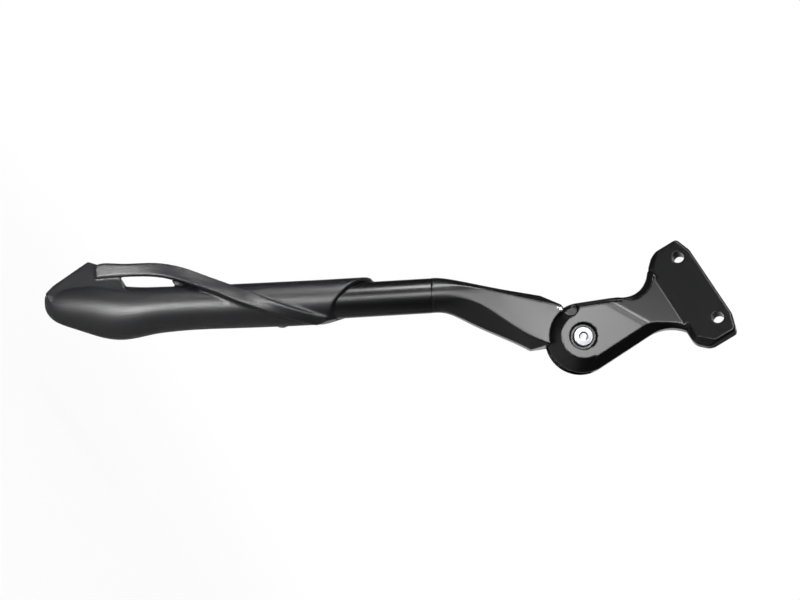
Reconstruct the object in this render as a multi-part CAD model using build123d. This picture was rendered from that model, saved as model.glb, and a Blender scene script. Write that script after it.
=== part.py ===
from build123d import *
from math import atan2, cos, degrees, radians, sin
import os

os.makedirs("parts", exist_ok=True)

# Row frame: the origin is the middle of the two bolt holes on the plate's mounting face.
# X runs rearward along the holes, Y points at the bicycle frame and Z is up.

# Mounting plate
bolt_spacing = 40.0
bolt_hole_diameter = 6.2
plate_front = 29.7
plate_rear = 30.7
plate_top = 7.2
plate_bottom = 17.4
plate_thickness = 8.5
plate_top_corner_run = 9.0
plate_top_corner_drop = 2.8
plate_low_corner = 6.2
plate_edge_round = 2.4
plate_edge_bevel = 0.9
plate_low_round = 7.0
plate_low_bevel = 3.2

# Hinge: where the pivot is and which way it points
pivot_forward = 6.5
pivot_outboard = 14.6
pivot_drop = 66.2
toe_angle = 18.4
tip_angle = 8.1
swing_angle = 59.2
fold_angle = 95.0

# Clevis
rim_radius = 18.3
rim_half_width = 7.0
cheek_radius = 11.8
cheek_level = 14.0
tongue_thickness = 9.4
washer_thickness = 1.0
side_clearance = 0.02
running_clearance = 0.05
stop_clearance_angle = 0.4
stop_angle = 123.5
shoulder_low_angle = 193.0
relief_start_angle = 112.0
relief_end_angle = 300.0
pocket_radius = 3.4
pocket_reach = 15.6
pocket_angle = 113.0
pocket_level = 9.0
web_radius = 17.0
tongue_clearance = 0.5

# Neck between the clevis and the plate
neck_low_bevel_angle = 38.0
neck_top_bevel_angle = 23.5
neck_top_tangent_angle = 98.7
neck_low_tangent_angle = 303.0
neck_middle_angle = 110.0
neck_face_tilt = 35.0
crease_drop = 16.6
crease_round = 9.0
neck_edge_bevel = 3.0
neck_edge_spare = 4.0

# Pivot bolt, nut and washers
pin_diameter = 9.0
pin_flat = 3.4
head_diameter = 10.8
head_height = 2.6
head_dome = 0.7
head_recess_diameter = 13.9
head_recess_depth = 3.6
thread_diameter = 8.0
thread_length = 4.6
nut_across_flats = 12.0
nut_height = 3.6
nut_recess_diameter = 16.6
nut_recess_depth = 4.6
nut_washer_thickness = 1.0
nut_washer_diameter = 15.6
thrust_washer_diameter = 30.0

# Bushes and detent
bush_outer_diameter = 16.0
bush_length = 2.0
cam_diameter = 15.6
notch_depth = 0.6
notch_radius = 4.2
bore_angle = 163.0
spring_bore_diameter = 7.0
spring_bore_reach = 50.0
plunger_diameter = 6.8
plunger_length = 14.0
plunger_nose_radius = 3.4
spring_diameter = 6.2
spring_wire = 1.0
spring_turns = 9
seat_thickness = 1.5

# Upper leg
seam_x = -78.5
seam_y = 22.9
tube_slope = 3.4
tube_diameter = 18.4
leg_slope = 17.9
leg_half_depth = 11.5
shoulder_front_radius = 17.0
shoulder_clearance = 0.35
nose_x = -21.3
nose_y = 21.8
nose_slope = 26.0
spigot_length = 22.0
fit_clearance = 0.04

# Lower tube
tube_length = 120.0
tube_wall = 2.0
tube_flat_depth = 0.6
tube_flat_start = 38.0
tube_flat_end = 112.0
pin_place = 12.0
tube_pin_diameter = 4.0
tube_pin_length = 9.0
plug_flange = 1.5
plug_depth = 8.0
plug_wall = 2.0

# Foot sleeve
sleeve_diameter = 23.6
sleeve_bore_clearance = 0.1
sleeve_bore_end = 148.0
mouth_middle = 41.0
mouth_reach = 12.5
mouth_turn = 45.0
ribbon_thickness = 3.0
web_level = 3.6
ribbon_web_thickness = 3.0
underside_bevel_place = 59.0
underside_bevel_level = 12.3
underside_bevel_slope = 17.0

# Length clamp
clamp_place = 79.0
clamp_angle = 204.0
boss_diameter = 11.0
boss_roof = 3.0
nut_gap = 0.3
nut_square = 8.0
square_nut_height = 2.7
pocket_clearance = 0.1
clamp_screw_diameter = 4.9
clamp_screw_length = 6.0
clamp_socket = 2.5

# Hinge frame: Z is the pivot axis, outward, and X points from the leg to the plate
pivot_point = Vector(-pivot_forward, -pivot_outboard, -pivot_drop)
outward = Vector(
    sin(radians(toe_angle)) * cos(radians(tip_angle)),
    -cos(radians(toe_angle)) * cos(radians(tip_angle)),
    sin(radians(tip_angle)),
)
level = Vector(cos(radians(toe_angle)), sin(radians(toe_angle)), 0)
rise = outward.cross(level)
hinge_x = level * cos(radians(swing_angle)) + rise * sin(radians(swing_angle))
hinge_frame = Plane(origin=pivot_point, x_dir=hinge_x, z_dir=outward)

# Tube frame, inside the hinge frame: Z runs down the tube, X is its upper side
tube_down = Vector(-cos(radians(tube_slope)), -sin(radians(tube_slope)), 0)
tube_up = Vector(-sin(radians(tube_slope)), cos(radians(tube_slope)), 0)
tube_frame = Plane(origin=(seam_x, seam_y, 0), x_dir=tube_up, z_dir=tube_down)

cam_half_length = tongue_thickness / 2 - bush_length - side_clearance
slot_half_width = tongue_thickness / 2 + washer_thickness + 2 * side_clearance
relief_slope = (rim_radius - cheek_radius) / (cheek_level - rim_half_width)

# The square nut sits over the tube, and the clamp's direction is turned from the tube's upper side
nut_low = tube_diameter / 2 + nut_gap
boss_height = nut_low + square_nut_height + boss_roof
clamp_turn = clamp_angle - 90


def polar(radius, angle):
    """A point of the hinge plane from its distance and direction."""
    return radius * cos(radians(angle)), radius * sin(radians(angle))


def disc(radius, low, high):
    """A cylinder about the local Z axis between two levels."""
    return Pos(0, 0, (low + high) / 2) * Cylinder(radius, high - low)


def ring(outer, inner, low, high):
    """A tube about the local Z axis."""
    return disc(outer, low, high) - disc(inner, low - 1, high + 1)


def turned(points, start, sweep):
    """A profile of radius and level, turned about the local Z axis."""
    profile = make_face(Polyline(*[(r, 0, z) for r, z in points], close=True))
    return Rot(0, 0, start) * revolve(profile, Axis.Z, sweep)


def beyond(plane, size=260):
    """The half of space on the positive side of a plane."""
    return plane.location * Pos(0, 0, size / 2) * Box(size, size, size)


def prism(points, half_width):
    """A polygon of the local XY plane, as thick on both sides."""
    return extrude(make_face(Polyline(*points, close=True)), half_width, both=True)


def radial(angle):
    """A plane at the pivot whose Z runs along a direction of the hinge plane."""
    x, y = polar(1, angle)
    return Plane(origin=(0, 0, 0), x_dir=(0, 0, 1), z_dir=(x, y, 0))


def place(shape):
    """Moves a shape from the hinge frame to the row frame."""
    return hinge_frame.location * shape


def place_tube(shape):
    """Moves a shape from the tube frame to the row frame."""
    return hinge_frame.location * tube_frame.location * shape


# Bracket

def plate():
    """The plate with its two bolt holes, in the row frame."""
    front = -plate_front
    rear = plate_rear
    outline = Polyline(
        (front, plate_top - plate_top_corner_drop),
        (front + plate_top_corner_run, plate_top),
        (rear - plate_top_corner_run, plate_top),
        (rear, plate_top - plate_top_corner_drop),
        (rear, -plate_bottom + plate_low_corner),
        (rear - plate_low_corner, -plate_bottom),
        (front + plate_low_corner, -plate_bottom),
        (front, -plate_bottom + plate_low_corner),
        close=True,
    )
    face = Plane.XZ * make_face(outline)
    solid = extrude(face, plate_thickness)
    corner_level = -plate_bottom + plate_low_corner
    low = solid.edges().filter_by(Axis.Y).filter_by(lambda edge: edge.center().Z < corner_level + 0.1)
    solid = fillet(low, plate_low_round)
    high = solid.edges().filter_by(Axis.Y).filter_by(lambda edge: edge.center().Z > 0)
    solid = fillet(high, plate_edge_round)
    outer_face = solid.faces().sort_by(Axis.Y)[0]
    solid = chamfer(outer_face.edges(), plate_edge_bevel)
    half = plate_low_corner / 2
    for x, z, out in (
        (0, -plate_bottom, Vector(0, 0, -1)),
        (front + half, -plate_bottom + half, Vector(-1, 0, -1).normalized()),
        (rear - half, -plate_bottom + half, Vector(1, 0, -1).normalized()),
    ):
        edge = Vector(x, -plate_thickness, z) - out * plate_low_bevel
        solid -= beyond(Plane(origin=edge, z_dir=out - Vector(0, 1, 0)))
    return solid


def row_to_hinge(x, y, z):
    """A point of the row frame, given in the hinge plane's own X and Y."""
    local = hinge_frame.to_local_coords(Vector(x, y, z))
    return local.X, local.Y


def neck_edges():
    """The upper and the lower edge of the neck, each a straight run and its flare."""
    top_start = polar(rim_radius, neck_top_tangent_angle)
    top_slope = radians(neck_top_tangent_angle - 90)
    top_end = (top_start[0] + 22 * cos(top_slope), top_start[1] + 22 * sin(top_slope))
    low_start = polar(rim_radius, neck_low_tangent_angle)
    low_slope = radians(neck_low_tangent_angle - 270)
    low_end = (low_start[0] + 30 * cos(low_slope), low_start[1] + 30 * sin(low_slope))
    top = Line(top_start, top_end)
    top_flare = ThreePointArc(top_end, (32.2, 26.8), (36.3, 36.6))
    low = Line(low_start, low_end)
    low_flare = ThreePointArc(low_end, (46.5, 4.9), (56.0, 2.9))
    return top, top_flare, low, low_flare


def neck_outline():
    """The clevis rim, the neck and its flares, ending inside the plate."""
    top, top_flare, low, low_flare = neck_edges()
    reach = plate_front - plate_top_corner_run
    inside_front = row_to_hinge(-reach, -plate_thickness / 2, -plate_bottom / 2)
    inside_rear = row_to_hinge(reach, -plate_thickness / 2, -plate_bottom / 2)
    rim = ThreePointArc(low @ 0, polar(rim_radius, 201), top @ 0)
    front_edge = Line(top_flare @ 1, inside_front)
    hidden_edge = Line(inside_front, inside_rear)
    rear_edge = Line(inside_rear, low_flare @ 1)
    return make_face([rim, top, top_flare, front_edge, hidden_edge, rear_edge, low_flare, low])


def edge_bevel(neck_face, run, flare, forward):
    """What a bevel takes off where a run and its flare bound the neck face."""
    points = [run @ 0.5, run @ 0.75, *[flare @ share for share in (0, 0.25, 0.5, 0.75, 1)]]
    points.append(flare @ 1 + (flare % 1) * neck_edge_spare)
    facing = neck_face.z_dir
    raised = []
    for point in points:
        start = hinge_frame.from_local_coords(point)
        rise = (neck_face.origin - start).dot(facing) / outward.dot(facing)
        raised.append(start + outward * rise)
    line = Spline(*(raised if forward else reversed(raised)))
    # Along the line's start the section's X leaves the neck and its Y goes into it
    section = Plane(origin=line @ 0, x_dir=(line % 0).cross(facing), z_dir=line % 0)
    profile = Polyline(
        (-neck_edge_bevel - 1, -1),
        (1, neck_edge_bevel + 1),
        (neck_edge_spare, neck_edge_bevel + 1),
        (neck_edge_spare, -1),
        close=True,
    )
    return sweep(section * make_face(profile), path=line)


def cheek(outline, bevel_angle):
    """Both outer halves of the clevis, with their bevel."""
    # The outline's own normal points to the rear, so the rear half comes first
    rear = extrude(outline, cheek_level - rim_half_width, taper=bevel_angle)
    rear = Pos(0, 0, -rim_half_width) * rear
    return rear + mirror(rear, about=Plane.XY)


def crease_cut(neck_face):
    """What a rounded crease takes off where the neck face meets the flat of the clevis."""
    flat_normal = outward
    neck_normal = neck_face.z_dir
    line = flat_normal.cross(neck_normal).normalized()
    # The crease passes through the point of both faces that lies nearest to the neck face's origin
    to_flat = cheek_level - hinge_frame.to_local_coords(neck_face.origin).Z
    down_neck = line.cross(neck_normal)
    corner = neck_face.origin + down_neck * (to_flat / down_neck.dot(flat_normal))
    middle = (flat_normal + neck_normal).normalized()
    centre = corner - middle * (crease_round / middle.dot(flat_normal))
    across = Plane(origin=centre, x_dir=flat_normal, z_dir=line)
    spread = degrees(atan2(neck_normal.dot(across.y_dir), neck_normal.dot(flat_normal)))
    outer = crease_round + plate_thickness
    wedge = prism([(0, 0), polar(crease_round, 0), polar(outer, 0), polar(2 * outer, spread / 2),
                   polar(outer, spread), polar(crease_round, spread)], plate_rear * 2)
    return across.location * (wedge - disc(crease_round, -plate_rear * 3, plate_rear * 3))


def mounting_bracket():
    outline = neck_outline()
    neck_middle = Plane(origin=(0, 0, 0), z_dir=(*polar(1, neck_middle_angle), 0))
    arm = extrude(outline, rim_half_width, both=True)
    arm += cheek(outline, neck_low_bevel_angle)
    arm += cheek(outline, neck_top_bevel_angle) & beyond(neck_middle)
    for side in (1, -1):
        relief = [
            (cheek_radius, side * cheek_level),
            (rim_radius, side * rim_half_width),
            (rim_radius + 4, side * rim_half_width),
            (rim_radius + 4, side * (cheek_level + 1)),
            (cheek_radius, side * (cheek_level + 1)),
        ]
        arm -= turned(relief, relief_start_angle, relief_end_angle - relief_start_angle)
        low, high = sorted((side * pocket_level, side * (cheek_level + 1)))
        pocket = polar(pocket_reach, pocket_angle)
        arm -= Pos(*pocket, 0) * disc(pocket_radius, low, high)
    slot = [
        (0, -slot_half_width),
        (2.5 * rim_radius, -slot_half_width),
        (2.5 * rim_radius, slot_half_width),
        (0, slot_half_width),
    ]
    slot_start = stop_angle - stop_clearance_angle
    slot_end = shoulder_low_angle + fold_angle + stop_clearance_angle
    arm -= turned(slot, slot_start, slot_end - slot_start)
    arm -= disc(web_radius, -slot_half_width, slot_half_width)
    arm -= disc(pin_diameter / 2 + running_clearance, 0, cheek_level + 1)
    arm -= disc(head_recess_diameter / 2, cheek_level - head_recess_depth, cheek_level + 1)
    arm -= disc(nut_recess_diameter / 2, -cheek_level - 1, -cheek_level + nut_recess_depth)
    arm -= keyed_bore(-cheek_level - 1, 0)
    neck_face = Plane(
        origin=(0, -plate_thickness, -crease_drop),
        x_dir=(1, 0, 0),
        z_dir=(0, -cos(radians(neck_face_tilt)), sin(radians(neck_face_tilt))),
    )
    body = place(arm) - beyond(neck_face)
    body -= crease_cut(neck_face)
    top, top_flare, low, low_flare = neck_edges()
    body -= edge_bevel(neck_face, top, top_flare, False)
    body -= edge_bevel(neck_face, low, low_flare, True)
    body -= beyond(Plane(origin=(0, 0, 0), z_dir=(0, 1, 0)))
    body += plate()
    for side in (-1, 1):
        hole = Pos(side * bolt_spacing / 2, -plate_thickness / 2, 0) * Rot(90, 0, 0)
        body -= hole * Cylinder(bolt_hole_diameter / 2, plate_thickness + 2)
    return body


def keyed_bore(low, high):
    """The bore for the pivot bolt with the flat that keeps it from turning."""
    round_bore = disc(pin_diameter / 2 + running_clearance, low, high)
    flat = Pos(0, -pin_flat - running_clearance - 10, (low + high) / 2) * Box(20, 20, high - low)
    return round_bore - flat


# Pivot

def pivot_bolt():
    head_low = cheek_level - head_recess_depth
    head_high = head_low + head_height
    head_r = head_diameter / 2
    dome = [
        (0, head_low),
        (head_r, head_low),
        (head_r, head_high - head_dome),
        (head_r - head_dome, head_high),
        (head_r * 0.45, head_high + head_dome * 0.3),
        (head_r * 0.30, head_high - head_dome * 0.3),
        (0, head_high - head_dome * 0.5),
    ]
    shank_low = -cheek_level + nut_recess_depth
    shank = disc(pin_diameter / 2, shank_low, head_low)
    keyed_high = cam_half_length + 2 * side_clearance
    flat = Pos(0, -pin_flat - 10, (shank_low + keyed_high) / 2) * Box(20, 20, keyed_high - shank_low)
    thread = disc(thread_diameter / 2, shank_low - thread_length, shank_low)
    return turned(dome, 0, 360) + (shank - flat) + thread


def pivot_washer():
    high = -cheek_level + nut_recess_depth
    return ring(
        nut_washer_diameter / 2,
        thread_diameter / 2 + running_clearance,
        high - nut_washer_thickness,
        high,
    )


def pivot_nut():
    high = -cheek_level + nut_recess_depth - nut_washer_thickness
    blank = extrude(
        Pos(0, 0, high) * RegularPolygon(nut_across_flats / 2, 6, major_radius=False),
        nut_height,
        dir=(0, 0, -1),
    )
    return blank - disc(thread_diameter / 2 + running_clearance, high - nut_height - 1, high + 1)


def thrust_washer(side):
    near = tongue_thickness / 2 + side_clearance
    far = near + washer_thickness
    low, high = sorted((side * near, side * far))
    return ring(thrust_washer_diameter / 2, pin_diameter / 2 + running_clearance, low, high)


def bush(side):
    far = tongue_thickness / 2
    low, high = sorted((side * (far - bush_length), side * far))
    return ring(bush_outer_diameter / 2 - fit_clearance, pin_diameter / 2 + running_clearance, low, high)


# Detent

def detent_cam():
    half = cam_half_length
    cam = disc(cam_diameter / 2, -half, half) - keyed_bore(-half - 1, half + 1)
    for angle in (bore_angle, bore_angle + fold_angle):
        x, y = polar(cam_diameter / 2 - notch_depth + notch_radius, angle)
        cam -= Pos(x, y, 0) * Cylinder(notch_radius, tongue_thickness)
    return cam


def detent_plunger():
    start = cam_diameter / 2 + running_clearance
    body = disc(plunger_diameter / 2, start + plunger_nose_radius, start + plunger_length)
    nose = Pos(0, 0, start + plunger_nose_radius) * Sphere(plunger_nose_radius)
    return radial(bore_angle).location * (body + nose)


def detent_spring():
    low = cam_diameter / 2 + running_clearance + plunger_length + spring_wire / 2
    high = spring_bore_reach - seat_thickness - spring_wire / 2
    coil_radius = (spring_diameter - spring_wire) / 2
    path = Helix((high - low) / spring_turns, high - low, coil_radius)
    section = Plane(origin=path @ 0, z_dir=path % 0) * Circle(spring_wire / 2)
    return radial(bore_angle).location * Pos(0, 0, low) * sweep(section, path=path)


def spring_seat():
    return radial(bore_angle).location * disc(
        spring_bore_diameter / 2 - fit_clearance,
        spring_bore_reach - seat_thickness,
        spring_bore_reach,
    )


# Leg

def leg_section(x, y, slope, height, depth, top, flank):
    """An eight-sided section; its corners round off towards the tube."""
    up = height / 2
    top_z, top_s = top
    low_z, low_s = flank
    right_side = [(up, top_z), (top_s, depth), (low_s, depth), (-up, low_z)]
    corners = right_side + [(s, -z) for s, z in reversed(right_side)]
    plane = Plane(origin=(x, y, 0), x_dir=(sin(radians(slope)), cos(radians(slope)), 0),
                  z_dir=(cos(radians(slope)), -sin(radians(slope)), 0))
    return plane * make_face(Polyline(*[(s, -z) for s, z in corners], close=True))


def round_section(along):
    """The tube's circle, as eight arcs, at a distance before the seam."""
    r = tube_diameter / 2
    angles = [24, 55, 108, 156]
    angles = angles + [360 - a for a in reversed(angles)]
    edges = []
    for i, a in enumerate(angles):
        b = angles[(i + 1) % 8]
        if b < a:
            b += 360
        mid = (a + b) / 2
        points = [(r * cos(radians(t)), -r * sin(radians(t))) for t in (a, mid, b)]
        edges.append(ThreePointArc(*points))
    x = seam_x + along * cos(radians(tube_slope))
    y = seam_y + along * sin(radians(tube_slope))
    plane = Plane(origin=(x, y, 0), x_dir=(-sin(radians(tube_slope)), cos(radians(tube_slope)), 0),
                  z_dir=(cos(radians(tube_slope)), sin(radians(tube_slope)), 0))
    return plane * make_face(edges)


def upper_leg():
    sections = [
        round_section(0),
        round_section(4),
        leg_section(-55.4, 18.2, leg_slope, 20.2, 10.0, (5.0, 7.6), (3.6, -0.2)),
        leg_section(-38.5, 12.8, leg_slope, 24.2, 10.9, (6.3, 9.2), (3.8, -4.8)),
        leg_section(-21.6, 7.4, leg_slope, 28.8, leg_half_depth, (7.5, 10.8), (4.0, -9.0)),
        leg_section(-2.6, 1.3, leg_slope, 33.4, leg_half_depth, (8.8, 12.4), (4.2, -10.6)),
    ]
    leg = loft(sections)
    cone_gap = shoulder_clearance + (rim_radius - shoulder_front_radius) / relief_slope
    shoulder = [
        (0, -20),
        (shoulder_front_radius, -20),
        (shoulder_front_radius, -rim_half_width - cone_gap),
        (rim_radius + shoulder_clearance, -rim_half_width),
        (rim_radius + shoulder_clearance, rim_half_width),
        (shoulder_front_radius, rim_half_width + cone_gap),
        (shoulder_front_radius, 20),
        (0, 20),
    ]
    leg -= turned(shoulder, 0, 360)
    far = 120
    keep = prism([(0, 0), polar(far, stop_angle), (-far, far), (-far, -far),
                  polar(far, shoulder_low_angle)], 30)
    leg &= keep
    nose = Plane(origin=(nose_x, nose_y, 0), x_dir=(0, 0, 1),
                 z_dir=(sin(radians(nose_slope)), cos(radians(nose_slope)), 0))
    leg -= beyond(nose)
    tongue_low = shoulder_low_angle
    tongue = turned(
        [
            (0, -tongue_thickness / 2),
            (rim_radius + 4, -tongue_thickness / 2),
            (rim_radius + 4, tongue_thickness / 2),
            (0, tongue_thickness / 2),
        ],
        stop_angle,
        tongue_low - stop_angle,
    )
    leg += tongue + disc(web_radius - tongue_clearance, -tongue_thickness / 2, tongue_thickness / 2)
    leg -= disc(bush_outer_diameter / 2, -tongue_thickness, tongue_thickness)
    leg -= radial(bore_angle).location * disc(spring_bore_diameter / 2, 0, spring_bore_reach)
    spigot = disc(tube_diameter / 2 - tube_wall - fit_clearance, -2, spigot_length)
    leg += tube_frame.location * spigot
    leg -= tube_frame.location * pin_hole()
    return leg


def pin_hole():
    """The blind cross hole for the tube pin, from the hidden side."""
    radius = tube_pin_diameter / 2 + fit_clearance
    depth = tube_pin_length + fit_clearance
    start = tube_diameter / 2 - depth
    return Pos(0, start + 10, pin_place) * Rot(90, 0, 0) * Cylinder(radius, 20)


def tube_pin():
    start = tube_diameter / 2 - tube_pin_length
    return Pos(0, start + (tube_pin_length - 0.2) / 2, pin_place) * Rot(90, 0, 0) * Cylinder(
        tube_pin_diameter / 2, tube_pin_length - 0.2)


def lower_tube():
    radius = tube_diameter / 2
    tube = ring(radius, radius - tube_wall, 0, tube_length)
    tube -= pin_hole()
    flat = Pos(radius - tube_flat_depth + 5, 0, (tube_flat_start + tube_flat_end) / 2) * Box(
        10, 20, tube_flat_end - tube_flat_start)
    return tube - Rot(0, 0, clamp_turn) * flat


def tube_plug():
    radius = tube_diameter / 2
    spigot_radius = radius - tube_wall - fit_clearance
    flange = disc(radius - fit_clearance, tube_length, tube_length + plug_flange)
    spigot = ring(spigot_radius, spigot_radius - plug_wall, tube_length - plug_depth, tube_length)
    return flange + spigot


# Foot

def body_section(along, low, high, depth):
    """An ellipse across the tube's line, from its lowest to its highest point."""
    return Pos((low + high) / 2, 0, along) * Ellipse((high - low) / 2, depth)


def foot_body():
    """The sleeve and the foot in one skin, from beyond the mouth to the tip."""
    radius = sleeve_diameter / 2
    mouth_end = mouth_middle + mouth_reach
    return disc(radius, mouth_middle - mouth_reach - 4, mouth_end) + loft([
        body_section(mouth_end, -radius, radius, radius),
        body_section(mouth_end + 10, -11.75, 11.85, radius),
        body_section(78, -11.6, 12.0, radius),
        body_section(92, -11.3, 12.15, radius),
        body_section(108, -10.9, 12.35, 11.7),
        body_section(124, -10.6, 12.6, 11.6),
        body_section(138, -11.0, 13.0, 11.7),
        body_section(150, -12.3, 13.4, 11.9),
        body_section(164, -13.6, 15.0, 11.4),
        body_section(178, -10.2, 16.5, 9.8),
        body_section(190, -5.6, 16.0, 7.8),
        body_section(199, -0.8, 14.2, 5.4),
        body_section(202.4, 4.6, 11.6, 2.6),
    ])


def foot_fin():
    """The thin web that rises from the foot to its upper corner."""
    outline = [(8, 158), (13.9, 159.8), (19.0, 162.5), (25.4, 167), (26.6, 173.5), (29.0, 179.6),
               (16.6, 197.6), (12.6, 201.4), (8, 200)]
    web = Plane.XZ * make_face(Polyline(*outline, close=True))
    web = extrude(web, 14, both=True)
    near = Polyline((4, -11), (11, -7.6), (30, 0.6), (30, 3.4), (4, 11), close=True)
    far = Polyline((4, -6), (11, -5.0), (30, 1.4), (30, 3.4), (4, 6), close=True)
    return web & loft([Pos(0, 0, 155) * make_face(near), Pos(0, 0, 204) * make_face(far)])


def ribbon_web():
    """The closed part of the arch, between the band and the sleeve."""
    outline = [(8, 108), (11, 108), (17.5, 130), (18.0, 137.6), (16.9, 139.2), (15.0, 138.8),
               (13.2, 137.0), (8, 136)]
    face = Pos(0, -web_level, 0) * Plane.XZ * make_face(Polyline(*outline, close=True))
    return extrude(face, ribbon_web_thickness / 2, both=True)


def ribbon():
    """The band that wraps the sleeve and rises free of it to the foot's upper corner."""
    stations = [
        (48.0, -9.9, 0.5, -84, 8.6),
        (60.0, -9.8, 7.0, -54, 7.2),
        (69.0, -7.6, 10.5, -37, 6.6),
        (79.0, -4.3, 12.6, -20, 6.6),
        (88.0, -0.7, 13.1, -3, 6.8),
        (98.5, 3.9, 12.4, 18, 7.6),
        (107.0, 7.9, 10.4, 36, 8.4),
        (117.0, 12.4, 8.5, 36, 8.5),
        (128.0, 17.2, 6.6, 26, 8.1),
        (138.0, 20.5, 5.2, 16, 7.7),
        (148.0, 22.0, 4.2, 8, 7.2),
        (160.0, 22.5, 3.4, 4, 7.0),
        (175.2, 22.3, 2.8, 4, 7.0),
    ]
    path = Spline(*[(v, -z, u) for u, v, z, lean, width in stations])
    sections = []
    for i, (u, v, z, lean, width) in enumerate(stations):
        share = path.param_at_point((v, -z, u))
        tangent = path % share
        across = Vector(cos(radians(lean)), sin(radians(lean)), 0)
        face = Plane(origin=(v, -z, u), x_dir=across - tangent * across.dot(tangent), z_dir=tangent)
        sections.append(face * RectangleRounded(width, ribbon_thickness, 0.6))
    return loft(sections)


def mouth_plane():
    """The slanted mouth; its far corner is low on the front side."""
    slant = degrees(atan2(mouth_reach, sleeve_diameter / 2))
    mouth = Pos(0, 0, mouth_middle) * Rot(0, 0, -90 - mouth_turn) * Rot(0, 180 - slant, 0)
    return Plane(mouth)


def underside_plane():
    """The bevel that thins the sleeve's underside towards the mouth."""
    slope = radians(underside_bevel_slope)
    return Plane(origin=(-underside_bevel_level, 0, underside_bevel_place),
                 z_dir=(-cos(slope), 0, -sin(slope)))


def clamp_parts(shape):
    """Turns a shape made along X to the clamp's direction and place."""
    return Pos(0, 0, clamp_place) * Rot(0, 0, clamp_turn) * Rot(0, 90, 0) * shape


def foot_sleeve():
    sleeve = foot_body() + foot_fin() + ribbon() + ribbon_web()
    sleeve += clamp_parts(disc(boss_diameter / 2, nut_low, boss_height))
    bore = disc(tube_diameter / 2 + sleeve_bore_clearance, 0, sleeve_bore_end)
    sleeve -= bore
    sleeve -= beyond(mouth_plane())
    sleeve -= beyond(underside_plane())
    pocket = nut_square + 2 * pocket_clearance
    nut_top = nut_low + square_nut_height + pocket_clearance
    bore_inside = tube_diameter / 2 - tube_wall
    pocket_middle = (nut_top + bore_inside) / 2
    sleeve -= clamp_parts(Pos(0, 0, pocket_middle) * Box(pocket, pocket, nut_top - bore_inside))
    sleeve -= clamp_parts(disc(clamp_screw_diameter / 2 + pocket_clearance, bore_inside, boss_height + 1))
    return sleeve


def length_nut():
    nut = Pos(0, 0, nut_low + square_nut_height / 2) * Box(nut_square, nut_square, square_nut_height)
    nut -= disc(clamp_screw_diameter / 2 + fit_clearance, 0, boss_height)
    return clamp_parts(nut)


def length_screw():
    tip = tube_diameter / 2 - tube_flat_depth + running_clearance
    screw = disc(clamp_screw_diameter / 2, tip, tip + clamp_screw_length)
    socket = extrude(
        Pos(0, 0, tip + clamp_screw_length) * RegularPolygon(clamp_socket / 2, 6, major_radius=False),
        2.5,
        dir=(0, 0, -1),
    )
    return clamp_parts(screw - socket)


pieces = {
    "mounting_bracket": mounting_bracket(),
    "pivot_bolt": place(pivot_bolt()),
    "pivot_washer": place(pivot_washer()),
    "pivot_nut": place(pivot_nut()),
    "thrust_washer_front": place(thrust_washer(1)),
    "thrust_washer_rear": place(thrust_washer(-1)),
    "bush_front": place(bush(1)),
    "bush_rear": place(bush(-1)),
    "detent_cam": place(detent_cam()),
    "detent_plunger": place(detent_plunger()),
    "detent_spring": place(detent_spring()),
    "spring_seat": place(spring_seat()),
    "upper_leg": place(upper_leg()),
    "lower_tube": place_tube(lower_tube()),
    "tube_pin": place_tube(tube_pin()),
    "tube_plug": place_tube(tube_plug()),
    "foot_sleeve": place_tube(foot_sleeve()),
    "length_nut": place_tube(length_nut()),
    "length_screw": place_tube(length_screw()),
}

for name, piece in pieces.items():
    export_step(piece, "parts/" + name + ".step")
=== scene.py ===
# %% [markdown]
# # A bicycle kickstand
#
# The stand has a cast bracket, a forged upper leg, a drawn tube and a moulded foot
# that slides on the tube. Its shapes come from a CAD model, in metres. This notebook
# rounds the edges that a foundry or a mould would round, gives each piece the
# finish of its real material, and lights the stand as in a product photograph.

# %% Load the model
from math import cos, hypot, radians, sin

import bmesh
import bpy
from mathutils import Matrix, Vector


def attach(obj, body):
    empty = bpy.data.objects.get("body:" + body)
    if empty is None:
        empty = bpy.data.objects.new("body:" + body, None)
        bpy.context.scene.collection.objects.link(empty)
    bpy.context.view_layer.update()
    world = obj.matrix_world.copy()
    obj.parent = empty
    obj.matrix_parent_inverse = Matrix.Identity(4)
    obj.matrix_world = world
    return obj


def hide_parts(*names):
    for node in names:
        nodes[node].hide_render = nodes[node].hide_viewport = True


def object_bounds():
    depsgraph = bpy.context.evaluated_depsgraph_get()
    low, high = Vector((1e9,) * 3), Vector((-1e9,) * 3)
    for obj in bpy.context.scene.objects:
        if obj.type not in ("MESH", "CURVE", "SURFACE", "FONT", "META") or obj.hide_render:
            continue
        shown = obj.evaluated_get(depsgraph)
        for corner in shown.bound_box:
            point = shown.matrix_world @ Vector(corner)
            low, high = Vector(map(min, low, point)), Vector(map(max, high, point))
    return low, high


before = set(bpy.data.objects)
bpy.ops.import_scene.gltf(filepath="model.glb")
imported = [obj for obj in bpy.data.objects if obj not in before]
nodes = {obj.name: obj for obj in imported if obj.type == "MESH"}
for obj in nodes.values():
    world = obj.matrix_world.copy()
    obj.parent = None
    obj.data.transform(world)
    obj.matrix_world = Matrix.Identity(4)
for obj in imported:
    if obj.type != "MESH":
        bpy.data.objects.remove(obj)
cad_low, cad_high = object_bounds()
mm = 0.001
print("pieces in the model:", ", ".join(sorted(nodes)))

# %% [markdown]
# ## Where the hinge stands
#
# The stand is drawn as it is bolted to a bicycle, but it was photographed lying
# across the picture, square to its hinge. Directions that belong to the picture are
# therefore easiest to give along the hinge: x along the leg towards the plate,
# y up the picture and z out of the pivot, towards the camera.

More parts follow.
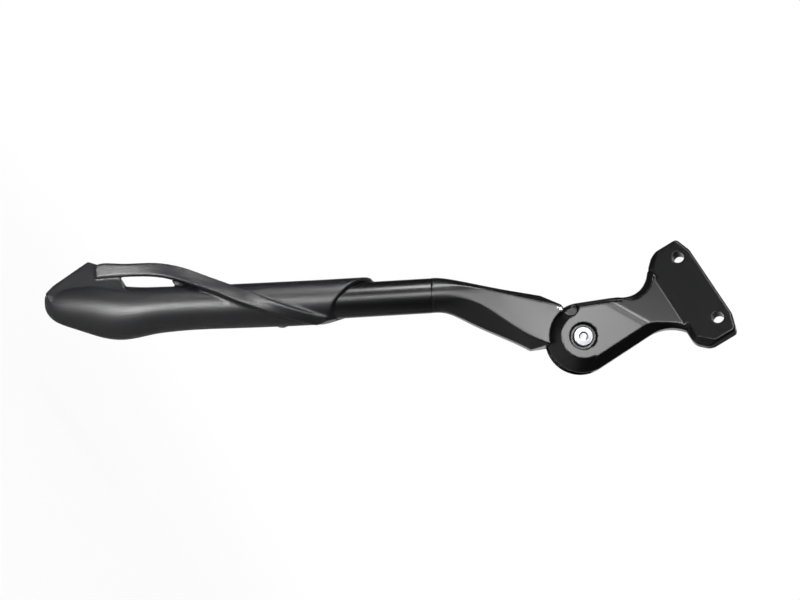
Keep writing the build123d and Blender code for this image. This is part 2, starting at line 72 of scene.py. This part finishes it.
# %% The hinge's own directions
toe, tip, swing = radians(18.4), radians(8.1), radians(59.2)
pivot = Vector((-6.5, -14.6, -66.2)) * mm
outward = Vector((sin(toe) * cos(tip), -cos(toe) * cos(tip), sin(tip)))
level = Vector((cos(toe), sin(toe), 0))
along = level * cos(swing) + outward.cross(level) * sin(swing)
upward = outward.cross(along)


def from_hinge(x, y, z):
    """A place given in millimetres along the hinge's directions, in metres of the model."""
    return pivot + (along * x + upward * y + outward * z) * mm


print("pivot at", [round(c / mm, 1) for c in pivot], "mm")

# %% [markdown]
# ## Two small helpers for materials
#
# Colours are easiest to read as the hex values of a screen, but Blender adds light
# in linear numbers, so one function turns the first into the second. The other adds
# one node with its settings and links, which keeps each finish below short.

# %% Colour and node helpers
def linear(code):
    """An sRGB hex colour as linear numbers, with full alpha."""
    parts = [int(code[i:i + 2], 16) / 255 for i in (0, 2, 4)]
    return tuple(p / 12.92 if p <= 0.04045 else ((p + 0.055) / 1.055) ** 2.4 for p in parts) + (1,)


def add(tree, kind, values=None, links=None, **settings):
    """Adds a node: settings are its options, values its sockets, links what feeds a socket."""
    node = tree.nodes.new(kind)
    for name, value in settings.items():
        setattr(node, name, value)
    for name, value in (values or {}).items():
        node.inputs[name].default_value = value
    for name, source in (links or {}).items():
        tree.links.new(source, node.inputs[name])
    return node


def new_finish(name):
    """An empty material with its output, and the object's own coordinates."""
    made = bpy.data.materials.new(name)
    made.use_nodes = True
    tree = made.node_tree
    tree.nodes.clear()
    output = add(tree, "ShaderNodeOutputMaterial")
    place = add(tree, "ShaderNodeTexCoord").outputs["Object"]
    return made, tree, output, place


print("black powder coat", [round(c, 4) for c in linear("0c0c0d")[:3]])

# %% [markdown]
# ## Black powder coat on the forgings
#
# The bracket and the upper leg are aluminium, coated in satin black powder. Powder
# melts into a skin that is smooth to the touch but not flat: it keeps a soft orange
# peel about a millimetre and a half across and a finer grain. A broad light on it
# looks pale grey, and the sides that turn away look nearly black. Where the leg
# meets its stop, the coat has worn off and bright metal shows.

# %% Powder coat, with the worn corner
# Each worn place is given along the hinge's directions, with its radius, in millimetres
chip_places = [((-12.9, 15.2, 11.3), 0.6), ((-11.6, 14.5, 11.4), 0.7), ((-10.4, 13.5, 11.4), 0.8),
               ((-9.6, 12.2, 11.4), 0.7), ((-25.2, 22.0, 9.0), 0.6)]


def powder_coat(name, chips):
    made, tree, output, place = new_finish(name)
    peel_size, grain_size, ragged_size, worn_edge = 1.5 * mm, 0.35 * mm, 0.8 * mm, 0.05 * mm
    peel = add(tree, "ShaderNodeTexNoise", {"Scale": 1 / peel_size, "Detail": 2.0}, {"Vector": place})
    grain = add(tree, "ShaderNodeTexNoise", {"Scale": 1 / grain_size, "Detail": 3.0}, {"Vector": place})
    soft = add(tree, "ShaderNodeBump", {"Strength": 0.25, "Distance": 0.03 * mm},
               {"Height": peel.outputs[0]})
    fine = add(tree, "ShaderNodeBump", {"Strength": 0.35, "Distance": 0.02 * mm},
               {"Height": grain.outputs[0], "Normal": soft.outputs[0]})
    gloss = add(tree, "ShaderNodeMapRange", {"To Min": 0.28, "To Max": 0.34}, {"Value": grain.outputs[0]})
    tint = add(tree, "ShaderNodeMix", {6: linear("0c0c0d"), 7: linear("121213")},
               {0: peel.outputs[0]}, data_type="RGBA")
    coat = add(tree, "ShaderNodeBsdfPrincipled", {"IOR": 1.5},
               {"Base Color": tint.outputs[2], "Roughness": gloss.outputs[0], "Normal": fine.outputs[0]})
    shown = coat.outputs[0]
    if chips:
        ragged = add(tree, "ShaderNodeTexNoise", {"Scale": 1 / ragged_size, "Detail": 4.0},
                     {"Vector": place})
        bare = add(tree, "ShaderNodeBsdfPrincipled",
                   {"Base Color": linear("dcdde0"), "Metallic": 1.0, "Roughness": 0.32},
                   {"Normal": fine.outputs[0]})
    for spot, size in chips:
        away = add(tree, "ShaderNodeVectorMath", {1: from_hinge(*spot)}, {0: place},
                   operation="DISTANCE")
        reach = add(tree, "ShaderNodeMath", {1: 2 * size * mm}, {0: ragged.outputs[0]},
                    operation="MULTIPLY")
        inside = add(tree, "ShaderNodeMath", {}, {0: reach.outputs[0], 1: away.outputs["Value"]},
                     operation="SUBTRACT")
        worn = add(tree, "ShaderNodeMapRange", {"From Min": -worn_edge, "From Max": worn_edge},
                   {"Value": inside.outputs[0]})
        mixed = add(tree, "ShaderNodeMixShader", {}, {0: worn.outputs[0], 1: shown, 2: bare.outputs[0]})
        shown = mixed.outputs[0]
    tree.links.new(shown, output.inputs["Surface"])
    return made


bracket_black = powder_coat("black_powder_coat_bracket", [])
leg_black = powder_coat("black_powder_coat_leg", chip_places)
print("powder coat made twice, once with", len(chip_places), "worn places")

# %% [markdown]
# ## Black anodised tube
#
# The lower tube is drawn and anodised black. Drawing leaves it straight and even, so
# its highlight is one clean line, a little sharper than on the powder coat, and its
# gloss changes only faintly, in soft clouds some millimetres across.

# %% Anodised tube
def anodised(name):
    made, tree, output, place = new_finish(name)
    cloud_size = 6 * mm
    cloud = add(tree, "ShaderNodeTexNoise", {"Scale": 1 / cloud_size, "Detail": 1.0}, {"Vector": place})
    gloss = add(tree, "ShaderNodeMapRange", {"To Min": 0.27, "To Max": 0.31}, {"Value": cloud.outputs[0]})
    skin = add(tree, "ShaderNodeBsdfPrincipled", {"Base Color": linear("0a0a0b"), "IOR": 1.5},
               {"Roughness": gloss.outputs[0]})
    tree.links.new(skin.outputs[0], output.inputs["Surface"])
    return made


tube_black = anodised("black_anodised_tube")
print("tube finish made")

# %% [markdown]
# ## Glass filled nylon
#
# The foot is moulded nylon with glass fibre. Its mould is spark eroded, which gives
# every face a fine even grain. The real grain is about a third of a millimetre, too
# fine to show at this distance, so it is drawn almost three times as coarse. Even so
# it is seen only from close by. From further off it spreads the highlight into a wide
# soft band and lifts the black to a dark grey.

# %% Nylon
def moulded_nylon(name):
    made, tree, output, place = new_finish(name)
    grain_size, flow_size = 0.9 * mm, 14 * mm
    grain = add(tree, "ShaderNodeTexNoise", {"Scale": 1 / grain_size, "Detail": 3.0, "Roughness": 0.7},
                {"Vector": place})
    flow = add(tree, "ShaderNodeTexNoise", {"Scale": 1 / flow_size, "Detail": 3.0}, {"Vector": place})
    bump = add(tree, "ShaderNodeBump", {"Strength": 0.8, "Distance": 0.08 * mm},
               {"Height": grain.outputs[0]})
    tint = add(tree, "ShaderNodeMix", {6: linear("101012"), 7: linear("171719")},
               {0: flow.outputs[0]}, data_type="RGBA")
    gloss = add(tree, "ShaderNodeMapRange", {"To Min": 0.36, "To Max": 0.46}, {"Value": grain.outputs[0]})
    skin = add(tree, "ShaderNodeBsdfPrincipled", {"IOR": 1.53},
               {"Base Color": tint.outputs[2], "Roughness": gloss.outputs[0], "Normal": bump.outputs[0]})
    tree.links.new(skin.outputs[0], output.inputs["Surface"])
    return made


foot_nylon = moulded_nylon("glass_filled_nylon")
print("nylon made")

# %% [markdown]
# ## Bright and dark metals, and small plastics
#
# The pivot bolt is zinc plated: bright but milky, with faint turning marks. Its grey
# is darker than real zinc, because these lamps make a truer one too bright. The
# other metals differ only in colour, gloss and the size of their marks, so one
# function makes them all from a turned or ground surface.

# %% Metals and plain plastics
def worked_metal(name, colour, low, high, mark):
    """A metal with a roughness from low to high, and marks of a size in millimetres."""
    made, tree, output, place = new_finish(name)
    marks = add(tree, "ShaderNodeTexNoise", {"Scale": 1 / (mark * mm), "Detail": 4.0}, {"Vector": place})
    gloss = add(tree, "ShaderNodeMapRange", {"To Min": low, "To Max": high}, {"Value": marks.outputs[0]})
    bump = add(tree, "ShaderNodeBump", {"Strength": 0.2, "Distance": 0.01 * mm},
               {"Height": marks.outputs[0]})
    skin = add(tree, "ShaderNodeBsdfPrincipled", {"Base Color": linear(colour), "Metallic": 1.0},
               {"Roughness": gloss.outputs[0], "Normal": bump.outputs[0]})
    tree.links.new(skin.outputs[0], output.inputs["Surface"])
    return made


def plain_plastic(name, colour, rough):
    """A moulded plastic whose roughness changes a little round a middle value."""
    made, tree, output, place = new_finish(name)
    grain_size = 0.5 * mm
    grain = add(tree, "ShaderNodeTexNoise", {"Scale": 1 / grain_size, "Detail": 2.0}, {"Vector": place})
    gloss = add(tree, "ShaderNodeMapRange", {"To Min": rough - 0.05, "To Max": rough + 0.05},
                {"Value": grain.outputs[0]})
    skin = add(tree, "ShaderNodeBsdfPrincipled", {"Base Color": linear(colour)},
               {"Roughness": gloss.outputs[0]})
    tree.links.new(skin.outputs[0], output.inputs["Surface"])
    return made


bolt_zinc = worked_metal("zinc_plated_steel", "9c9ea2", 0.36, 0.48, 0.6)
hard_steel = worked_metal("ground_hardened_steel", "a9abae", 0.20, 0.32, 0.4)
spring_steel = worked_metal("drawn_spring_steel", "8d8f93", 0.24, 0.38, 0.3)
black_oxide = worked_metal("black_oxide_steel", "2a2a2c", 0.34, 0.46, 0.4)
bush_bronze = worked_metal("sintered_bronze", "a67c4e", 0.38, 0.55, 0.25)
washer_polymer = plain_plastic("acetal_washer", "d9d7d0", 0.45)
plug_polymer = plain_plastic("polyethylene_plug", "1b1b1c", 0.5)

finish_of = {
    "mounting_bracket": bracket_black,
    "upper_leg": leg_black,
    "lower_tube": tube_black,
    "foot_sleeve": foot_nylon,
    "pivot_bolt": bolt_zinc,
    "pivot_washer": bolt_zinc,
    "pivot_nut": bolt_zinc,
    "length_nut": bolt_zinc,
    "length_screw": black_oxide,
    "thrust_washer_front": washer_polymer,
    "thrust_washer_rear": washer_polymer,
    "bush_front": bush_bronze,
    "bush_rear": bush_bronze,
    "detent_cam": hard_steel,
    "detent_plunger": hard_steel,
    "spring_seat": hard_steel,
    "detent_spring": spring_steel,
    "tube_pin": spring_steel,
    "tube_plug": plug_polymer,
}
for name, finish in finish_of.items():
    nodes[name].data.materials.clear()
    nodes[name].data.materials.append(finish)
print(len(finish_of), "pieces have a finish")

# %% [markdown]
# ## Soft edges on castings and mouldings
#
# CAD edges are perfectly sharp. A forging, a casting and a moulding never are, and
# their thin bright edge lines are what makes them look real. A bevel would have to
# follow every edge, also where many meet. Instead the surface is rebuilt as an even
# skin, drawn back on to the CAD shape, and relaxed a little: flat faces stay flat
# and only the edges round off. The foot's skin is a little coarser, which keeps it
# under 200,000 triangles.

# %% Even skin
same_point = 0.002 * mm


def even_skin(node, name, grid):
    """A new piece with an even, closed skin on a CAD piece, and a grid in millimetres."""
    exact = bpy.data.objects.new(name + "_exact", nodes[node].data.copy())
    skin = bpy.data.objects.new(name + "_skin", exact.data)
    for made in (exact, skin):
        bpy.context.scene.collection.objects.link(made)
    clean = bmesh.new()
    clean.from_mesh(exact.data)
    bmesh.ops.remove_doubles(clean, verts=clean.verts, dist=same_point)
    clean.to_mesh(exact.data)
    clean.free()
    even = skin.modifiers.new("even skin", "REMESH")
    even.mode = "VOXEL"
    even.voxel_size = grid * mm
    even.use_smooth_shade = True
    drawn_on = skin.modifiers.new("back on to the shape", "SHRINKWRAP")
    drawn_on.target = exact
    evaluated = skin.evaluated_get(bpy.context.evaluated_depsgraph_get())
    piece = bpy.data.objects.new(name, bpy.data.meshes.new_from_object(evaluated))
    bpy.context.scene.collection.objects.link(piece)
    for made in (skin, exact):
        bpy.data.objects.remove(made)
    piece.data.materials.clear()
    piece.data.materials.append(finish_of[node])
    print(name, len(piece.data.polygons), "faces")
    return piece


metal_grid, foot_grid = 0.5, 0.62
bracket = even_skin("mounting_bracket", "bracket_casting", metal_grid)
leg = even_skin("upper_leg", "leg_forging", metal_grid)
foot = even_skin("foot_sleeve", "foot_moulding", foot_grid)

# %% [markdown]
# ## Corners of the bracket
#
# On the real bracket the plate, the neck and the flat of the clevis meet in clean
# lines, and a scallop beside the pivot falls away like the bevel round it. The CAD
# shape has a narrow groove where the neck meets the plate, a wide round where it
# meets the flat, and a deeper scallop. Points of the skin in these three places are
# lifted: in the groove to the plate's front, in the round to the nearer of the two
# planes, and in the scallop to a slope. Every other point stays where it is.

# %% Clean lines and the scallop
def in_hinge(point):
    """A place of the model as millimetres along the hinge's directions."""
    off = (point - pivot) / mm
    return off.dot(along), off.dot(upward), off.dot(outward)


plate_front, crease_level, groove_top = -8.5 * mm, -16.6 * mm, -13.8 * mm
crease_left, crease_right = -16.5 * mm, 14.5 * mm
neck_tilt = radians(35)
neck_place = Vector((0, plate_front, crease_level))
neck_facing = Vector((0, -cos(neck_tilt), sin(neck_tilt)))
# From here on in millimetres along the hinge's directions
flat_level, deepest_step = 11.0, 2.2
bend_x, bend_y, bend_turn, bend_half = 24.0, 12.3, radians(-30.5), 9.0
scallop_x, scallop_y, scallop_radius, scallop_floor, floor_spare = -6.1, 14.4, 3.6, 9.0, 0.15
scallop_turn, scallop_slope = radians(113), 0.44
least_lift = 0.01

lifted = 0
for vertex in bracket.data.vertices:
    start = vertex.co.copy()
    beside = crease_level < start.z < groove_top and crease_left < start.x < crease_right
    if beside and plate_front < start.y < plate_front + deepest_step * mm:
        vertex.co.y = plate_front
    x, y, z = in_hinge(vertex.co)
    under_flat = flat_level - z
    under_neck = (neck_place - vertex.co).dot(neck_facing) / mm
    along_bend = (x - bend_x) * cos(bend_turn) + (y - bend_y) * sin(bend_turn)
    in_step = 0 < under_flat < deepest_step and 0 < under_neck < deepest_step
    in_scallop = hypot(x - scallop_x, y - scallop_y) < scallop_radius and z > scallop_floor - floor_spare
    if in_step and abs(along_bend) < bend_half:
        vertex.co += (outward * under_flat if under_flat < under_neck else neck_facing * under_neck) * mm
    elif in_scallop:
        run = (x - scallop_x) * cos(scallop_turn) + (y - scallop_y) * sin(scallop_turn)
        sloped = min(flat_level, flat_level - scallop_slope * (run + scallop_radius))
        vertex.co = from_hinge(x, y, max(z, sloped))
    lifted += (vertex.co - start).length > least_lift * mm
print(lifted, "points lifted")

# %% [markdown]
# ## Where the edges round off
#
# Relaxing a mesh rounds every edge by the same amount, and it would also widen the
# bolt holes. A vertex group sets how strongly each point may move: hardly at all
# round a machined hole, and fully on cast edges. The machined places are the two
# bolt holes in the plate and the recess for the pivot bolt's head.

# %% Rounded edges
def rounded(piece, rounds, share):
    """Relaxes a piece; share gives how freely a point of it may move, from 0 to 1."""
    group = piece.vertex_groups.new(name="free to round")
    for vertex in piece.data.vertices:
        group.add([vertex.index], share(vertex.co), "REPLACE")
    relax = piece.modifiers.new("round the edges", "SMOOTH")
    relax.factor = 0.5
    relax.iterations = rounds
    relax.vertex_group = group.name
    evaluated = piece.evaluated_get(bpy.context.evaluated_depsgraph_get())
    piece.data = bpy.data.meshes.new_from_object(evaluated)
    piece.modifiers.clear()
    piece.vertex_groups.clear()


def ramp(value, low, high):
    """Rises from 0 at low to 1 at high."""
    return min(1, max(0, (value - low) / (high - low)))


hole_side, hole_front, hole_reach = 20, -8.5, 4.5 * mm
recess_level, recess_reach = 14, 8.5 * mm
machined = [(Vector((side * hole_side, hole_front, 0)) * mm, hole_reach) for side in (-1, 1)]
machined.append((from_hinge(0, 0, recess_level), recess_reach))
least_share = 0.15
held_up_to, free_beyond = 1.0, 1.2


def clear_of_holes(point):
    """The share of a point of the bracket: small within reach of a machined place."""
    away = [(point - centre).length / reach for centre, reach in machined]
    return min(least_share + (1 - least_share) * ramp(ratio, held_up_to, free_beyond) for ratio in away)


rounded(bracket, 6, clear_of_holes)
rounded(leg, 6, lambda point: 1)
rounded(foot, 8, lambda point: 1)
for piece, node, body, slot in ((bracket, "mounting_bracket", "bracket", "bracket_black"),
                                (leg, "upper_leg", "leg", "leg_black"),
                                (foot, "foot_sleeve", "foot", "foot_nylon")):
    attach(piece, body)
    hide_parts(node)
print("edges rounded on three pieces")

# %% [markdown]
# ## The thread on the pivot bolt
#
# The bolt's end shows behind the nut, and a plain cylinder there would look like a
# pin. A thread is one ridge that winds round the core with an even pitch, so
# Geometry Nodes draw it from four sizes: a spiral is the path, and a small diamond
# runs along it. Other bolts would only need other sizes. The ridge starts a little
# above the bolt's end.

# %% Thread nodes
def thread_tree():
    """The nodes of a thread, and each input's identifier by its name."""
    tree = bpy.data.node_groups.new("screw thread", "GeometryNodeTree")
    wanted = {}
    for name, kind in (("Radius", "Float"), ("Pitch", "Float"), ("Turns", "Float"), ("Ridge", "Float"),
                       ("Finish", "Material")):
        wanted[name] = tree.interface.new_socket(name, in_out="INPUT", socket_type="NodeSocket" + kind)
    tree.interface.new_socket("Geometry", in_out="OUTPUT", socket_type="NodeSocketGeometry")
    sizes = add(tree, "NodeGroupInput").outputs
    rise = add(tree, "ShaderNodeMath", {}, {0: sizes["Pitch"], 1: sizes["Turns"]}, operation="MULTIPLY")
    path = add(tree, "GeometryNodeCurveSpiral", {"Resolution": 32},
               {"Rotations": sizes["Turns"], "Start Radius": sizes["Radius"], "End Radius": sizes["Radius"],
                "Height": rise.outputs[0]})
    ridge = add(tree, "GeometryNodeCurvePrimitiveCircle", {"Resolution": 4}, {"Radius": sizes["Ridge"]})
    wound = add(tree, "GeometryNodeCurveToMesh", {"Fill Caps": True},
                {"Curve": path.outputs[0], "Profile Curve": ridge.outputs[0]})
    real = add(tree, "GeometryNodeRealizeInstances", {}, {"Geometry": wound.outputs[0]})
    finished = add(tree, "GeometryNodeSetMaterial", {},
                   {"Geometry": real.outputs[0], "Material": sizes["Finish"]})
    add(tree, "NodeGroupOutput", {}, {"Geometry": finished.outputs[0]})
    return tree, {name: socket.identifier for name, socket in wanted.items()}


bolt_end = min(in_hinge(vertex.co)[2] for vertex in nodes["pivot_bolt"].data.vertices)
thread_start = bolt_end + 0.3
thread_sizes = {"Radius": 3.95 * mm, "Pitch": 1.0 * mm, "Turns": 4.0, "Ridge": 0.3 * mm,
                "Finish": bolt_zinc}
thread_nodes, socket_of = thread_tree()
coil = bpy.data.objects.new("thread_before_placing", bpy.data.meshes.new("thread_before_placing"))
bpy.context.scene.collection.objects.link(coil)
winding = coil.modifiers.new("screw thread", "NODES")
winding.node_group = thread_nodes
for name, value in thread_sizes.items():
    winding[socket_of[name]] = value
evaluated = coil.evaluated_get(bpy.context.evaluated_depsgraph_get())
thread = bpy.data.objects.new("bolt_thread", bpy.data.meshes.new_from_object(evaluated))
bpy.data.objects.remove(coil)
bpy.context.scene.collection.objects.link(thread)
hinge_turn = Matrix((along, upward, outward)).transposed().to_4x4()
thread.data.transform(Matrix.Translation(from_hinge(0, 0, thread_start)) @ hinge_turn)
shell = bmesh.new()
shell.from_mesh(thread.data)
bmesh.ops.recalc_face_normals(shell, faces=shell.faces)
shell.to_mesh(thread.data)
shell.free()
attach(thread, "bracket")
print("thread with", len(thread.data.polygons), "faces, from", round(thread_start, 1), "mm")

# %% [markdown]
# ## Floor
#
# The photograph has no surroundings, only white. A large pale floor takes the
# shadow. It lies a little lower than the foot can come when it slides all the way
# out on the tube. To the camera the floor shows white, apart from a small share of
# its own grey near the stand, which lets the shadow through. All other rays meet the
# plain grey.

# %% Floor
floor_radius, room_below = 0.42, 28 * mm
shadow_within, white_beyond, white_near_stand = 0.18, 0.40, 0.94
floor_level = cad_low.z - room_below
floor_middle = (cad_low + cad_high) / 2
floor_form = bmesh.new()
bmesh.ops.create_circle(floor_form, cap_ends=True, segments=96, radius=floor_radius)
bmesh.ops.translate(floor_form, verts=floor_form.verts,
                    vec=(floor_middle.x, floor_middle.y, floor_level))
floor_mesh = bpy.data.meshes.new("floor")
floor_form.to_mesh(floor_mesh)
floor_form.free()
floor = bpy.data.objects.new("floor", floor_mesh)
bpy.context.scene.collection.objects.link(floor)
pale, floor_nodes, floor_output, floor_place = new_finish("pale_floor")
away = add(floor_nodes, "ShaderNodeVectorMath", {1: floor_middle}, {0: floor_place}, operation="DISTANCE")
share = add(floor_nodes, "ShaderNodeMapRange",
            {"From Min": shadow_within, "From Max": white_beyond, "To Min": white_near_stand, "To Max": 1.0},
            {"Value": away.outputs["Value"]})
matt = add(floor_nodes, "ShaderNodeBsdfDiffuse", {"Color": linear("b8b8b8")})
white = add(floor_nodes, "ShaderNodeEmission", {"Color": (1, 1, 1, 1), "Strength": 1.0})
ray = add(floor_nodes, "ShaderNodeLightPath")
white_share = add(floor_nodes, "ShaderNodeMath", {},
                  {0: ray.outputs["Is Camera Ray"], 1: share.outputs[0]}, operation="MULTIPLY")
both = add(floor_nodes, "ShaderNodeMixShader", {},
           {0: white_share.outputs[0], 1: matt.outputs[0], 2: white.outputs[0]})
floor_nodes.links.new(both.outputs[0], floor_output.inputs["Surface"])
floor_mesh.materials.append(pale)
print("floor at", round(floor_level / mm, 1), "mm")

# %% [markdown]
# ## World
#
# The camera sees a white world. Mirror rays and rays through clear matter see white
# only in a round patch of it behind the stand, where the metal and the turned edges
# pick it up. To all other rays the world is nearly dark, or it would wash out the
# black finishes.

# %% World
# The backdrop fades in between these two cosines of the angle from straight behind
backdrop_edge, backdrop_full = 0.80, 0.95
weak_light = 0.02
world = bpy.data.worlds.new("studio")
bpy.context.scene.world = world
world.use_nodes = True
world_nodes = world.node_tree
world_nodes.nodes.clear()
ray = add(world_nodes, "ShaderNodeLightPath")
facing = add(world_nodes, "ShaderNodeTexCoord").outputs["Generated"]
behind = add(world_nodes, "ShaderNodeVectorMath", {1: -outward}, {0: facing}, operation="DOT_PRODUCT")
backdrop = add(world_nodes, "ShaderNodeMapRange", {"From Min": backdrop_edge, "From Max": backdrop_full},
               {"Value": behind.outputs["Value"]})
mirrored = add(world_nodes, "ShaderNodeMath", {},
               {0: ray.outputs["Is Glossy Ray"], 1: ray.outputs["Is Transmission Ray"]}, operation="ADD")
in_metal = add(world_nodes, "ShaderNodeMath", {}, {0: mirrored.outputs[0], 1: backdrop.outputs[0]},
               operation="MULTIPLY")
any_ray = add(world_nodes, "ShaderNodeMath", {}, {0: ray.outputs["Is Camera Ray"], 1: in_metal.outputs[0]},
              operation="MAXIMUM")
strength = add(world_nodes, "ShaderNodeMapRange", {"To Min": weak_light, "To Max": 1.0},
               {"Value": any_ray.outputs[0]})
sky = add(world_nodes, "ShaderNodeBackground", {"Color": (1, 1, 1, 1)}, {"Strength": strength.outputs[0]})
add(world_nodes, "ShaderNodeOutputWorld", {}, {"Surface": sky.outputs[0]})
print("world white to the camera, and", weak_light, "as light")

# %% [markdown]
# ## Lights
#
# A satin black surface shows almost nothing of its own colour: it shows the lights
# that mirror in it, so each light is placed for one group of faces. A box to the
# right of the camera turns the flats of the clevis and the leg pale grey, and one to
# the left draws the band along the foot. A third, high above, draws the line on the
# tube, a fourth, high on the right, lights the neck, and a weak fifth between them
# fills the bend where the neck leaves the flat. Three of them have a grid, a narrow
# spread, which keeps the plate dark. The last box stands behind the stand, on the
# right: it lights the hidden side and grazes the plate's edge.

# %% Soft boxes
def soft_box(name, place, aim, width, height, power, spread=180):
    """A soft box: its place, aim and size in millimetres, power in watts, spread in degrees."""
    lamp = bpy.data.lights.new(name, "AREA")
    lamp.shape = "RECTANGLE"
    lamp.size, lamp.size_y = width * mm, height * mm
    lamp.energy = power
    lamp.spread = radians(spread)
    holder = bpy.data.objects.new(name, lamp)
    holder.location = from_hinge(*place)
    towards = from_hinge(*aim) - holder.location
    holder.rotation_mode = "QUATERNION"
    holder.rotation_quaternion = towards.to_track_quat("-Z", "Y")
    bpy.context.scene.collection.objects.link(holder)


soft_box("right_box", (70, 150, 1000), (-20, 10, 0), 300, 220, 4.4)
soft_box("left_box", (-455, 130, 1000), (-250, 10, 0), 220, 180, 0.5, spread=34)
soft_box("top_box", (-40, 840, 480), (-130, 10, 0), 240, 180, 0.23, spread=34)
soft_box("neck_box", (560, 760, 560), (40, 20, 0), 200, 200, 4.3)
soft_box("bend_box", (320, 450, 830), (30, 10, 0), 300, 300, 0.13, spread=40)
soft_box("back_box", (900, 60, -520), (-40, 10, 0), 500, 400, 2.5)
print("six soft boxes")

# %% [markdown]
# ## Camera
#
# The camera stands 0.9 m from the stand and looks nearly along the pivot, from 8
# degrees below it, which shows the low side of the bracket. Its long lens keeps the
# sizes of near and far parts nearly equal, as in the photograph.

# %% Camera
lens = bpy.data.cameras.new("camera")
lens.sensor_width = 36
lens.lens = 77.1
camera = bpy.data.objects.new("camera", lens)
bpy.context.scene.collection.objects.link(camera)
tilt, distance = radians(8), 0.9
target = from_hinge(-94.76, 20.63, 0.23)
back = (outward * cos(tilt) - upward * sin(tilt)).normalized()
above = (upward * cos(tilt) + outward * sin(tilt)).normalized()
camera_turn = Matrix((along, above, back)).transposed().to_4x4()
camera.matrix_world = Matrix.Translation(target + back * distance) @ camera_turn
bpy.context.scene.camera = camera
bpy.context.scene.view_settings.view_transform = "Standard"
print("camera", [round(c, 3) for c in camera.location])
